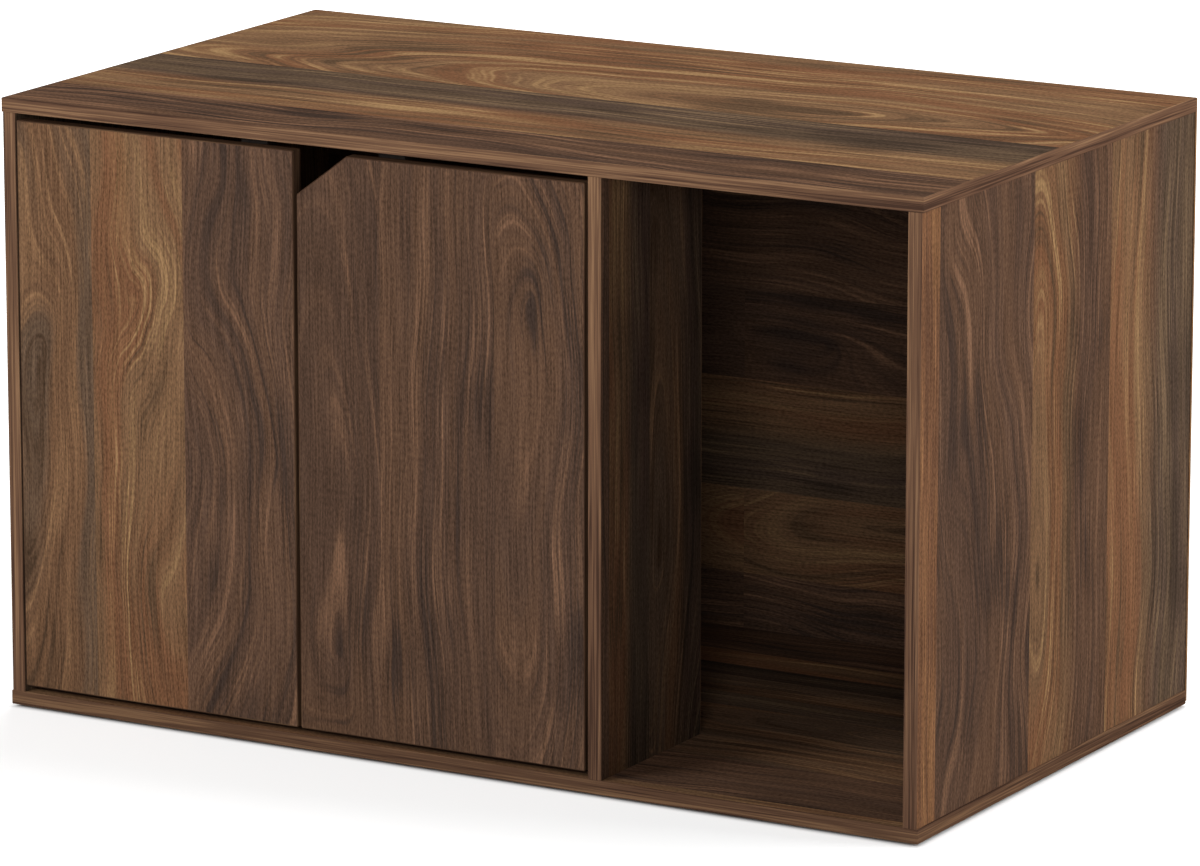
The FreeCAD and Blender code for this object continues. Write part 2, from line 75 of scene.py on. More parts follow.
def mixColour(tree, factor, a, b, blend="MIX"):
    return addNode(tree, "Mix", {0: factor, 6: a, 7: b}, data_type="RGBA", blend_type=blend).outputs[2]


def softStep(tree, value, low, high, toLow=0.0, toHigh=1.0):
    sockets = {"Value": value, "From Min": low, "From Max": high, "To Min": toLow, "To Max": toHigh}
    return addNode(tree, "MapRange", sockets, interpolation_type="SMOOTHSTEP").outputs[0]


def joinVector(tree, x=0.0, y=0.0, z=0.0):
    return addNode(tree, "CombineXYZ", {0: x, 1: y, 2: z}).outputs[0]


def grainNoise(tree, vector, stretch, shift, detail=2.0, roughness=0.5, kind="2D"):
    # noise with its own scale along each axis, moved by the seed vector
    placed = vecCalc(tree, "MULTIPLY_ADD", vector, stretch, shift)
    sockets = {"Vector": placed, "Scale": 1.0, "Detail": detail, "Roughness": roughness}
    return addNode(tree, "TexNoise", sockets, noise_dimensions=kind).outputs[0]


def centred(tree, noise, gain):
    # a noise of middle 0.5, moved to lie about nought
    return calc(tree, "MULTIPLY_ADD", noise, gain, -0.5 * gain)


def startGroup(name, inputs, outputs):
    group = bpy.data.node_groups.new(name, "ShaderNodeTree")
    for label, kind, value in inputs:
        socket = group.interface.new_socket(label, in_out="INPUT", socket_type="NodeSocket" + kind)
        socket.default_value = value
    for label, kind in outputs:
        group.interface.new_socket(label, in_out="OUTPUT", socket_type="NodeSocket" + kind)
    return group, group.nodes.new("NodeGroupInput").outputs, group.nodes.new("NodeGroupOutput").inputs


def placeGroup(tree, group, values):
    node = tree.nodes.new("ShaderNodeGroup")
    node.node_tree = group
    for key, value in values.items():
        feed(tree, node.inputs[key], value)
    return node.outputs


def newMaterial(name, specular=0.5, metallic=0.0):
    material = bpy.data.materials.new(name)
    material.use_nodes = True
    shader = material.node_tree.nodes["Principled BSDF"]
    shader.inputs["Specular IOR Level"].default_value = specular
    shader.inputs["Metallic"].default_value = metallic
    return material, material.node_tree, shader


def addBump(tree, shader, height, distance, strength=0.5):
    bump = addNode(tree, "Bump", {"Height": height, "Distance": distance, "Strength": strength})
    tree.links.new(bump.outputs[0], shader.inputs["Normal"])


def objectPlace(tree):
    return addNode(tree, "TexCoord").outputs["Object"]


# The walnut print. Rings lie round an axis that runs with the grain; near the eye they close into
# ovals, away from it they open into long arches, and with no arch they are straight stripes.
grainSettings = {
    # how finely each noise varies across the grain and along it
    "driftScale": (5.0, 4.0, 0.0), "slideScale": (9.0, 3.0, 0.0), "rippleScale": (22.0, 8.0, 0.0),
    "bandScale": (80.0, 1.8, 0.0), "lineScale": (210.0, 2.5, 0.0), "threadScale": (430.0, 4.5, 0.0),
    "fleckScale": (620.0, 12.0, 0.0), "sparkleScale": (680.0, 260.0, 0.0),
    "smearScale": (13.0, 5.0, 0.0), "castScale": (30.0, 2.0, 0.0), "calmScale": (14.0, 4.0, 0.0),
    # how strongly each one shows in the tone
    "bandGain": 0.95, "lineGain": 1.15, "threadGain": 1.5, "fleckGain": 1.0, "sparkleGain": 1.0,
    "smearDepth": 0.3, "knotDepth": 0.7, "middleTone": 0.52,
    # how the figure bends across the grain, and how many metres it slides along it
    "driftBend": 4.0, "rippleBend": 0.5, "slideReach": 0.3,
    # a dark knot in the eye of a plank that is arched enough
    "knotRadius": 0.009, "knotArch": (0.4, 0.9),
    # between which values of their noises smears, calm patches and casts set in
    "smearEdges": (0.5, 0.75), "calmEdges": (0.36, 0.6), "calmest": 0.3, "castEdges": (0.38, 0.62),
    "roughness": 0.7, "fleckGloss": 0.25, "seedStep": (7.31, 3.97, 11.73),
}


def makeWalnutGrain():
    floats = {"Across": 0.0, "Along": 0.0, "Axis": 0.0, "Eye": 0.0, "Near": 0.2, "Far": 0.2, "Lean": 1.0,
              "Arch": 0.0, "Wander": 0.01, "Seed": 0.0, "Contrast": 1.0, "Fineness": 1.0}
    colours = {"Light": "967352", "Body": "785840", "Dark": "584030", "Cast": "6e4e3c"}
    inputs = [(label, "Float", value) for label, value in floats.items()]
    inputs += [(label, "Color", tint(code)) for label, code in colours.items()]
    outputs = [("Color", "Color"), ("Height", "Float"), ("Rough", "Float")]
    group, given, made = startGroup("walnutGrain", inputs, outputs)
    use = grainSettings
    seed = vecCalc(group, "SCALE", use["seedStep"])
    feed(group, seed.node.inputs["Scale"], given["Seed"])
    place = joinVector(group, given["Across"], given["Along"])

    drift = grainNoise(group, place, use["driftScale"], seed, detail=1.0)
    slide = grainNoise(group, place, use["slideScale"], seed, detail=1.0)
    ripple = grainNoise(group, place, use["rippleScale"], seed)
    bendMiddle = 0.5 * (use["driftBend"] + use["rippleBend"])
    bend = calc(group, "MULTIPLY_ADD", ripple, use["rippleBend"], -bendMiddle)
    bend = calc(group, "MULTIPLY_ADD", drift, use["driftBend"], bend)
    across = calc(group, "MULTIPLY_ADD", bend, given["Wander"], given["Across"])
    along = calc(group, "ADD", given["Along"], centred(group, slide, use["slideReach"]))

    fromEye = calc(group, "SUBTRACT", along, given["Eye"])
    nearReach = calc(group, "MULTIPLY", fromEye, given["Near"])
    farReach = calc(group, "MULTIPLY", calc(group, "MULTIPLY", fromEye, -1.0), given["Far"])
    reach = calc(group, "MAXIMUM", nearReach, farReach)
    fromAxis = calc(group, "SUBTRACT", across, given["Axis"])
    spoke = joinVector(group, fromAxis, reach)
    ring = addNode(group, "VectorMath", {0: spoke}, operation="LENGTH").outputs["Value"]
    field = calc(group, "MULTIPLY_ADD", ring, given["Arch"], calc(group, "MULTIPLY", across, given["Lean"]))
    inEye = softStep(group, ring, use["knotRadius"], 0.0)
    knot = calc(group, "MULTIPLY", inEye, softStep(group, given["Arch"], *use["knotArch"]))

    # broad bands, growth lines and threads follow the rings, flecks follow the fibre
    ringPlace = joinVector(group, field, given["Along"])
    linePlace = joinVector(group, calc(group, "MULTIPLY", field, given["Fineness"]), given["Along"])
    fibre = calc(group, "MULTIPLY_ADD", drift, given["Wander"], given["Across"])
    fibrePlace = joinVector(group, fibre, given["Along"])
    bands = grainNoise(group, ringPlace, use["bandScale"], seed)
    lines = grainNoise(group, linePlace, use["lineScale"], seed, roughness=0.7)
    threads = grainNoise(group, linePlace, use["threadScale"], seed, roughness=0.65)
    flecks = grainNoise(group, fibrePlace, use["fleckScale"], seed, detail=1.0)
    sparkle = grainNoise(group, place, use["sparkleScale"], seed, detail=1.0)
    smear = softStep(group, grainNoise(group, place, use["smearScale"], seed), *use["smearEdges"])
    calm = grainNoise(group, place, use["calmScale"], seed)
    lively = softStep(group, calm, *use["calmEdges"], use["calmest"], 1.0)
    tone = 0.0
    for value, gain in ((lines, use["lineGain"]), (threads, use["threadGain"])):
        tone = calc(group, "ADD", tone, centred(group, value, gain))
    tone = calc(group, "MULTIPLY", tone, lively)
    tone = calc(group, "ADD", tone, centred(group, bands, use["bandGain"]))
    tone = calc(group, "MULTIPLY_ADD", tone, given["Contrast"], use["middleTone"])
    tone = calc(group, "SUBTRACT", tone, calc(group, "MULTIPLY", smear, use["smearDepth"]))
    tone = calc(group, "SUBTRACT", tone, calc(group, "MULTIPLY", knot, use["knotDepth"]))

    cast = softStep(group, grainNoise(group, ringPlace, use["castScale"], seed), *use["castEdges"])
    body = mixColour(group, cast, given["Body"], given["Cast"])
    colour = mixColour(group, softStep(group, tone, 0.0, 0.5), given["Dark"], body)
    colour = mixColour(group, softStep(group, tone, 0.5, 1.0), colour, given["Light"])
    grainMiddle = 1.0 - 0.5 * (use["fleckGain"] + use["sparkleGain"])
    value = calc(group, "MULTIPLY_ADD", flecks, use["fleckGain"], grainMiddle)
    value = calc(group, "MULTIPLY_ADD", sparkle, use["sparkleGain"], value)
    colour = mixColour(group, 1.0, colour, joinVector(group, value, value, value), "MULTIPLY")
    feed(group, made["Color"], colour)
    feed(group, made["Height"], flecks)
    feed(group, made["Rough"], calc(group, "MULTIPLY_ADD", flecks, -use["fleckGloss"], use["roughness"]))
    return group


# Chipboard, seen on sawn edges and in the bores.
chipboardSettings = {"chipScale": (420.0, 420.0, 900.0), "dustScale": (1500.0, 1500.0, 1500.0),
                     "dark": "8a6b49", "light": "c7a877", "dust": "6d5236", "dustShare": 0.5}


def makeChipboard():
    inputs = [("Place", "Vector", (0.0, 0.0, 0.0))]
    outputs = [("Color", "Color"), ("Height", "Float")]
    group, given, made = startGroup("chipboard", inputs, outputs)
    use = chipboardSettings
    stretched = vecCalc(group, "MULTIPLY", given["Place"], use["chipScale"])
    chips = addNode(group, "TexVoronoi", {"Vector": stretched, "Scale": 1.0})
    shade = addNode(group, "SeparateColor", {0: chips.outputs["Color"]}).outputs[0]
    dust = grainNoise(group, given["Place"], use["dustScale"], (0.0, 0.0, 0.0), kind="3D")
    colour = mixColour(group, shade, tint(use["dark"]), tint(use["light"]))
    colour = mixColour(group, calc(group, "MULTIPLY", dust, use["dustShare"]), colour, tint(use["dust"]))
    feed(group, made["Color"], colour)
    feed(group, made["Height"], calc(group, "ADD", shade, dust))
    return group


walnutGrain = makeWalnutGrain()
chipboard = makeChipboard()

# Tones of the print: light streaks, body, dark streaks, and the cast that the body drifts to.
walnutTones = {
    "golden": ("987854", "765941", "584433", "735039"),
    "amber": ("946d4b", "78553b", "604433", "75523b"),
    "brown": ("89684b", "6a4e39", "4b392b", "5d4a3b"),
    "reddish": ("765844", "5a4334", "3e312a", "523e32"),
    "grey": ("745e48", "594839", "40342b", "524237"),
    "umber": ("5c4b3a", "46392e", "342b24", "46362d"),
}
axisNumber = {"X": 0, "Y": 1, "Z": 2}


def pickPerPlank(tree, masks, choices, mixer):
    # the value of the plank that the point lies in
    value = choices[0]
    for mask, choice in zip(masks, choices[1:]):
        value = mixer(tree, mask, value, choice)
    return value


# On a board's other face the print is mirrored, slid along and seeded anew. Past a plank's joint it is
# only seeded anew. Lengths in metres.
boardSettings = {"otherFaceSlide": 0.37, "otherFaceSeed": 4.7, "pastJointSeed": 2.3, "printDepth": 0.00015,
                 "coreRoughness": 0.92, "bumpHeight": 0.00012}
plankFields = ("end", "tone", "axis", "eye", "near", "far", "lean", "arch", "wander", "seed", "joint")


def plankMasks(tree, board, planks, across):
    # masks past the end of each plank but the last: hard ones for the figure, faded ones for tones
    masks = [calc(tree, "GREATER_THAN", across, metres(plank["end"])) for plank in planks[:-1]]
    toneMasks = list(masks)
    for i, fade in board.get("fades", {}).items():
        middle = metres(planks[i]["end"])
        halfFade = metres(fade / 2)
        toneMasks[i] = softStep(tree, across, middle - halfFade, middle + halfFade)
    return masks, toneMasks


def plankTones(board, planks):
    # the four colours of each plank's tone, at the plank's own shade; on the divider, back and bottom that
    # shade is also painted light and shade for the bay
    shades = [board.get("shades", {}).get(i, board.get("shade", 1.0)) for i in range(len(planks))]
    return [[dimmed(code, shade) for code in walnutTones[plank["tone"]]]
            for plank, shade in zip(planks, shades)]


def walnutBoard(name, board):
    # a laminated board: planks side by side across the grain on both faces, chipboard between them
    use = boardSettings
    material, tree, shader = newMaterial(name, specular=0.0)
    place = objectPlace(tree)
    parts = addNode(tree, "SeparateXYZ", {0: place}).outputs
    across = calc(tree, "SUBTRACT", parts[axisNumber[board["across"]]], metres(board["start"]))
    along = calc(tree, "SUBTRACT", parts[axisNumber[board["along"]]], metres(board["foot"]))
    thin = parts[axisNumber[board["thin"]]]
    low, high = [metres(face) for face in board["faces"]]
    middle = (low + high) / 2
    pastMiddle = "GREATER_THAN" if metres(board["shown"]) < middle else "LESS_THAN"
    otherFace = calc(tree, pastMiddle, thin, middle)
    across = mixFloat(tree, otherFace, across, calc(tree, "SUBTRACT", metres(board["width"]), across))
    along = mixFloat(tree, otherFace, along, calc(tree, "ADD", along, use["otherFaceSlide"]))

    planks = [dict(zip(plankFields, plank)) for plank in board["planks"]]
    masks, toneMasks = plankMasks(tree, board, planks, across)
    tones = plankTones(board, planks)
    perPlank = []
    for choices in ([(metres(plank["axis"]), metres(plank["eye"]), plank["near"]) for plank in planks],
                    [(plank["far"], plank["lean"], plank["arch"]) for plank in planks],
                    [(metres(plank["wander"]), plank["seed"], metres(plank["joint"])) for plank in planks]):
        picked = pickPerPlank(tree, masks, choices, mixVector)
        perPlank += addNode(tree, "SeparateXYZ", {0: picked}).outputs
    axis, eye, near, far, lean, arch, wander, ownSeed, joint = perPlank
    pastJoint = calc(tree, "GREATER_THAN", along, joint)
    seed = calc(tree, "ADD", ownSeed, calc(tree, "MULTIPLY", otherFace, use["otherFaceSeed"]))
    seed = calc(tree, "ADD", seed, calc(tree, "MULTIPLY", pastJoint, use["pastJointSeed"]))
    light, body, dark, cast = [pickPerPlank(tree, toneMasks, [tone[i] for tone in tones], mixColour)
                               for i in range(4)]
    grain = placeGroup(tree, walnutGrain, {
        "Across": across, "Along": along, "Axis": axis, "Eye": eye, "Near": near, "Far": far,
        "Lean": lean, "Arch": arch, "Wander": wander, "Seed": seed,
        "Contrast": board.get("contrast", 1.0), "Fineness": board.get("fineness", 1.0),
        "Light": light, "Body": body, "Dark": dark, "Cast": cast})
    core = placeGroup(tree, chipboard, {"Place": place})
    fromMiddle = calc(tree, "ABSOLUTE", calc(tree, "SUBTRACT", thin, middle))
    inCore = calc(tree, "LESS_THAN", fromMiddle, (high - low) / 2 - use["printDepth"])
    feed(tree, shader.inputs["Base Color"], mixColour(tree, inCore, grain["Color"], core["Color"]))
    feed(tree, shader.inputs["Roughness"], mixFloat(tree, inCore, grain["Rough"], use["coreRoughness"]))
    addBump(tree, shader, mixFloat(tree, inCore, grain["Height"], core["Height"]), use["bumpHeight"])
    return material


# Each board: which way its grain runs, where it lies, and its planks across the grain, lengths in
# millimetres. faces are its two sides along thin, and the planks are laid out for the shown one.
# A plank is (end, tone, axis, eye, near, far, lean, arch, wander, seed, joint). Its figure lies round
# the axis and the eye. The smaller near and far are, the longer its arches run past the eye and before
# it. lean gives stripes, arch gives rings, wander is how far the figure strays sideways, and past the
# joint another piece of wood begins. contrast and fineness hold for the whole board. fades gives the
# width of the soft change of tone at a plank's end. shade makes the board lighter or darker, shades
# one plank by its number, from 0.
# On the divider, the back and the bottom, which are seen inside the open bay, shade and shades also hold
# painted light and shade: the divider and the back are darkened as painted shade, the bottom lightened as
# painted light.
farAway = 9000
boards = {
    "left_door": {
        "across": "X", "along": "Z", "thin": "Y", "start": -434.5, "foot": 21.2, "width": 282.4,
        "faces": (-258.6, -245.9), "shown": -258.6,
        "planks": [
            (76, "brown", 29, 325, 0.3, 0.15, 0.3, 0.62, 14, 1.0, farAway),
            (170, "golden", 110, 355, 0.5, 0.3, 0.8, 0.35, 30, 2.2, farAway),
            (283, "reddish", 264, 245, 0.3, 0.3, 0.9, 0.4, 24, 3.1, farAway),
        ], "contrast": 0.8, "shades": {0: 1.04, 2: 1.14}},
    "right_door": {
        "across": "X", "along": "Z", "thin": "Y", "start": -148.9, "foot": 21.2, "width": 282.4,
        "faces": (-258.6, -245.9), "shown": -258.6,
        "planks": [
            (82, "reddish", 44, 100, 0.14, 0.3, 0.35, 0.6, 12, 4.0, farAway),
            (195, "reddish", 150, 200, 0.2, 0.2, 1.0, 0.0, 12, 5.3, farAway),
            (283, "reddish", 229, 340, 0.3, 0.15, 0.35, 0.8, 12, 6.4, farAway),
        ], "contrast": 0.8, "shades": {1: 1.03, 2: 1.1}},
    "left_side_panel": {
        "across": "Y", "along": "Z", "thin": "X", "start": -258.6, "foot": 15.2, "width": 513.6,
        "faces": (-448.7, -436.0), "shown": -448.7,
        "planks": [
            (110, "golden", 60, 250, 0.2, 0.2, 1.0, 0.0, 10, 7.1, farAway),
            (238, "brown", 180, 180, 0.2, 0.3, 0.4, 1.0, 18, 8.3, farAway),
            (360, "reddish", 300, 300, 0.3, 0.3, 0.9, 0.4, 18, 9.1, farAway),
            (514, "grey", 430, 300, 0.2, 0.2, 1.0, 0.0, 12, 10.2, farAway),
        ]},
    "right_side_panel": {
        "across": "Y", "along": "Z", "thin": "X", "start": -258.6, "foot": 15.2, "width": 513.6,
        "faces": (436.0, 448.7), "shown": 448.7,
        "planks": [
            (33, "amber", 0, 0, 0.2, 0.2, 1.0, 0.0, 5, 11.0, farAway),
            (205, "reddish", 125, 151, 0.3, 0.3, 0.75, 0.5, 20, 12.3, farAway),
            (282, "golden", 212, 260, 0.2, 0.2, 0.1, 1.0, 12, 13.1, farAway),
            (352, "reddish", 212, 260, 0.2, 0.2, 0.1, 1.0, 12, 13.1, farAway),
            (430, "golden", 0, 0, 0.2, 0.2, 1.0, 0.0, 10, 14.4, farAway),
            (514, "grey", 0, 0, 0.2, 0.2, 1.0, 0.0, 10, 14.4, farAway),
        ], "fades": {2: 40, 4: 60}, "shades": {1: 1.05, 2: 0.92}},
    # the divider's shades darken the whole board below its planks' own tones, as painted shade for the dark
    # bay
    "divider_panel": {
        "across": "Y", "along": "Z", "thin": "X", "start": -258.6, "foot": 15.2, "width": 174.0,
        "faces": (136.4, 149.1), "shown": 149.1,
        "planks": [
            (14, "reddish", 0, 0, 0.2, 0.2, 1.0, 0.0, 6, 15.0, farAway),
            (47, "golden", 0, 0, 0.2, 0.2, 1.0, 0.0, 6, 16.0, farAway),
            (83, "umber", 0, 0, 0.2, 0.2, 1.0, 0.0, 8, 16.0, farAway),
            (143, "brown", 100, 182, 0.1, 0.3, 0.05, 1.0, 8, 17.2, farAway),
            (175, "umber", 100, 182, 0.1, 0.3, 0.05, 1.0, 8, 17.2, farAway),
        ], "fades": {1: 20, 3: 20}, "shades": {0: 0.8, 1: 0.62, 2: 0.85, 3: 0.66, 4: 0.8}},
    "top_panel": {
        "across": "Y", "along": "X", "thin": "Z", "start": -258.6, "foot": -450.0, "width": 513.6,
        "faces": (533.8, 546.5), "shown": 546.5,
        "planks": [
            (86, "reddish", 20, 300, 0.2, 0.1, 0.8, 0.3, 16, 18.0, farAway),
            (165, "golden", 0, 0, 0.2, 0.2, 1.0, 0.0, 8, 19.1, farAway),
            (249, "grey", 0, 0, 0.2, 0.2, 1.0, 0.0, 8, 19.1, farAway),
            (517, "golden", 291, 665, 0.3, 0.24, 0.0, 1.0, 5, 21.3, farAway),
        ], "fades": {1: 36}, "contrast": 1.12, "fineness": 0.55},
    # the bottom's shade of 1.2 lightens its whole print as painted light on the floor of the bay
    "bottom_panel": {
        "across": "Y", "along": "X", "thin": "Z", "start": -258.6, "foot": -450.0, "width": 513.6,
        "faces": (2.5, 15.2), "shown": 15.2,
        "planks": [
            (14, "golden", 0, 0, 0.2, 0.2, 1.0, 0.0, 8, 22.0, farAway),
            (114, "reddish", 60, 700, 0.2, 0.2, 0.8, 0.3, 14, 23.2, farAway),
            (268, "brown", 240, 840, 0.25, 0.12, 0.1, 1.0, 12, 24.1, farAway),
            (308, "grey", 0, 0, 0.2, 0.2, 1.0, 0.0, 10, 25.0, farAway),
            (360, "brown", 0, 0, 0.2, 0.2, 1.0, 0.0, 8, 26.3, farAway),
            (394, "umber", 0, 0, 0.2, 0.2, 1.0, 0.0, 8, 26.8, farAway),
            (437, "golden", 0, 0, 0.2, 0.2, 1.0, 0.0, 8, 26.3, farAway),
            (517, "reddish", 480, 600, 0.2, 0.2, 0.8, 0.3, 14, 27.2, farAway),
        ], "fineness": 0.7, "shade": 1.2},
    # the back's shades darken its printed inside, partly its planks' own tones and partly painted shade for
    # the dark bay
    "back_panel": {
        "across": "Z", "along": "X", "thin": "Y", "start": 4.8, "foot": -450.0, "width": 541.2,
        "faces": (255.0, 258.0), "shown": 255.0,
        "planks": [
            (62, "reddish", 20, 700, 0.2, 0.2, 0.8, 0.3, 20, 28.1, 455),
            (141, "golden", 120, 605, 0.3, 0.2, 0.0, 1.0, 16, 29.0, 455),
            (193, "grey", 0, 0, 0.2, 0.2, 1.0, 0.0, 8, 30.2, 700),
            (243, "golden", 0, 0, 0.2, 0.2, 1.0, 0.0, 8, 30.2, 700),
            (326, "reddish", 285, 520, 0.15, 0.12, 0.5, 0.6, 16, 31.4, 455),
            (430, "reddish", 0, 0, 0.2, 0.2, 0.9, 0.2, 16, 32.0, 260),
            (542, "brown", 480, 500, 0.2, 0.2, 0.5, 0.8, 16, 33.3, 610),
        ], "fades": {2: 20}, "shades": {0: 0.85, 1: 0.8, 2: 0.85, 3: 0.75, 4: 0.75, 5: 0.85, 6: 0.8}},
}


# Thin strips on the edges of the boards: fine lines that run with the strip. Scales are across the
# lines and along them, tones are dark, body and light.
stripSettings = {"lineScale": (720.0, 9.0), "bandScale": (120.0, 2.5), "lineGain": 2.2, "bandGain": 1.4,
                 "bandOffset": -0.2, "tones": ("48342a", "6b4f3d", "8d6c51"), "roughness": 0.55,
                 "lineGloss": 0.15, "bumpHeight": 0.00008}


def stripScale(finest, scales):
    across, along = scales
    stretch = [along, along, along]
    stretch[axisNumber[finest]] = across
    return stretch


def edgeStrip(name, finest, shade=1.0):
    # finest is the axis across the strip's lines. shade darkens the whole strip; on the doors it is painted
    # shade, so the gaps round the doors read dark
    use = stripSettings
    material, tree, shader = newMaterial(name, specular=0.0)
    place = objectPlace(tree)
    lineScale = stripScale(finest, use["lineScale"])
    bandScale = stripScale(finest, use["bandScale"])
    lines = grainNoise(tree, place, lineScale, (3.0, 5.0, 7.0), roughness=0.6, kind="3D")
    bands = grainNoise(tree, place, bandScale, (8.0, 2.0, 4.0), kind="3D")
    fine = centred(tree, lines, use["lineGain"])
    broad = calc(tree, "MULTIPLY_ADD", bands, use["bandGain"], use["bandOffset"])
    tone = calc(tree, "ADD", fine, broad)
    dark, body, light = [dimmed(code, shade) for code in use["tones"]]
    colour = mixColour(tree, softStep(tree, tone, 0.0, 0.5), dark, body)
    colour = mixColour(tree, softStep(tree, tone, 0.5, 1.0), colour, light)
    feed(tree, shader.inputs["Base Color"], colour)
    worn = calc(tree, "MULTIPLY_ADD", lines, -use["lineGloss"], use["roughness"])
    feed(tree, shader.inputs["Roughness"], worn)
    addBump(tree, shader, lines, use["bumpHeight"])
    return material


# The outside of the back is bare hardboard, its inside is printed like the boards.
hardboardSettings = {"bareFrom": 0.2552, "fibreScale": (260.0, 260.0, 90.0), "cloudScale": (16.0, 16.0, 16.0),
                     "dark": "775539", "light": "94704e", "cloud": "664830", "cloudShare": 0.25,
                     "fibreEdges": (0.3, 0.7), "cloudEdges": (0.35, 0.75), "roughness": 0.8}


def hardboardBack(name):
    use = hardboardSettings
    material = walnutBoard(name, boards["back_panel"])
    tree = material.node_tree
    shader = tree.nodes["Principled BSDF"]
    place = objectPlace(tree)
    depth = addNode(tree, "SeparateXYZ", {0: place}).outputs[1]
    bare = calc(tree, "GREATER_THAN", depth, use["bareFrom"])
    fibres = grainNoise(tree, place, use["fibreScale"], (1.0, 2.0, 3.0), detail=4.0, roughness=0.7, kind="3D")
    clouds = grainNoise(tree, place, use["cloudScale"], (6.0, 1.0, 2.0), detail=4.0, kind="3D")
    pale = softStep(tree, fibres, *use["fibreEdges"])
    colour = mixColour(tree, pale, tint(use["dark"]), tint(use["light"]))
    cloudy = softStep(tree, clouds, *use["cloudEdges"], 0.0, use["cloudShare"])
    colour = mixColour(tree, cloudy, colour, tint(use["cloud"]))
    printed = shader.inputs["Base Color"].links[0].from_socket
    printedRoughness = shader.inputs["Roughness"].links[0].from_socket
    feed(tree, shader.inputs["Base Color"], mixColour(tree, bare, printed, colour))
    feed(tree, shader.inputs["Roughness"], mixFloat(tree, bare, printedRoughness, use["roughness"]))
    return material


metalSettings = {"markScale": (300.0, 300.0, 300.0), "cloudScale": (60.0, 60.0, 60.0), "markRoughness": 0.25,
                 "cloudEdges": (0.3, 0.7), "roughnessDrop": 0.12, "bumpHeight": 0.00003}


def metalFinish(name, light, dark, roughness):
    # plated or cast metal: slight clouding and fine tool marks
    use = metalSettings
    material, tree, shader = newMaterial(name, metallic=1.0)
    place = objectPlace(tree)
    marks = grainNoise(tree, place, use["markScale"], (2.0, 4.0, 6.0), detail=3.0, roughness=0.65, kind="3D")
    clouds = grainNoise(tree, place, use["cloudScale"], (5.0, 3.0, 1.0), kind="3D")
    clouded = mixColour(tree, softStep(tree, clouds, *use["cloudEdges"]), tint(dark), tint(light))
    feed(tree, shader.inputs["Base Color"], clouded)
    worn = calc(tree, "MULTIPLY_ADD", marks, use["markRoughness"], roughness - use["roughnessDrop"])
    feed(tree, shader.inputs["Roughness"], worn)
    addBump(tree, shader, marks, use["bumpHeight"])
    return material


mouldedSettings = {"textureScale": (2400.0, 2400.0, 2400.0), "mottleScale": (140.0, 140.0, 140.0),
                   "mottleEdges": (0.3, 0.7), "textureRoughness": 0.2, "bumpHeight": 0.00004}


def mouldedFinish(name, light, dark, roughness, specular=0.5):
    # moulded plastic or pressed powder: fine texture, faint mottling
    use = mouldedSettings
    material, tree, shader = newMaterial(name, specular)
    place = objectPlace(tree)
    texture = grainNoise(tree, place, use["textureScale"], (1.0, 5.0, 3.0), kind="3D")
    mottle = grainNoise(tree, place, use["mottleScale"], (4.0, 2.0, 6.0), kind="3D")
    mottled = mixColour(tree, softStep(tree, mottle, *use["mottleEdges"]), tint(dark), tint(light))
    feed(tree, shader.inputs["Base Color"], mottled)
    base = roughness - 0.5 * use["textureRoughness"]
    feed(tree, shader.inputs["Roughness"], calc(tree, "MULTIPLY_ADD", texture, use["textureRoughness"], base))
    addBump(tree, shader, texture, use["bumpHeight"])
    return material


beechSettings = {"lineScale": (900.0, 900.0, 30.0), "fleckScale": (1800.0, 1800.0, 260.0),
                 "lineEdges": (0.3, 0.7), "fleckEdges": (0.6, 0.7), "fleckShare": 0.5, "dark": "b78d5f",
                 "light": "d3ac7c", "fleck": "8d6440", "roughness": 0.7, "lineGloss": 0.1,
                 "bumpHeight": 0.0001}


def beechFinish(name):
    # turned beech: straight grain up the pin with short dark flecks
    use = beechSettings
    material, tree, shader = newMaterial(name, specular=0.3)
    place = objectPlace(tree)
    lines = grainNoise(tree, place, use["lineScale"], (2.0, 3.0, 4.0), detail=3.0, roughness=0.6, kind="3D")
    flecks = grainNoise(tree, place, use["fleckScale"], (7.0, 1.0, 2.0), detail=1.0, kind="3D")
    flecks = softStep(tree, flecks, *use["fleckEdges"])
    pale = softStep(tree, lines, *use["lineEdges"])
    colour = mixColour(tree, pale, tint(use["dark"]), tint(use["light"]))
    colour = mixColour(tree, calc(tree, "MULTIPLY", flecks, use["fleckShare"]), colour, tint(use["fleck"]))
    feed(tree, shader.inputs["Base Color"], colour)
    worn = calc(tree, "MULTIPLY_ADD", lines, -use["lineGloss"], use["roughness"])
    feed(tree, shader.inputs["Roughness"], worn)
    addBump(tree, shader, lines, use["bumpHeight"])
    return material


def paint(name, material):
    nodes[name].data.materials.clear()
    nodes[name].data.materials.append(material)


for nodeName, board in boards.items():
    if nodeName == "back_panel":
        paint(nodeName, hardboardBack("backBoardPrint"))
    else:
        paint(nodeName, walnutBoard(nodeName + "Print", board))
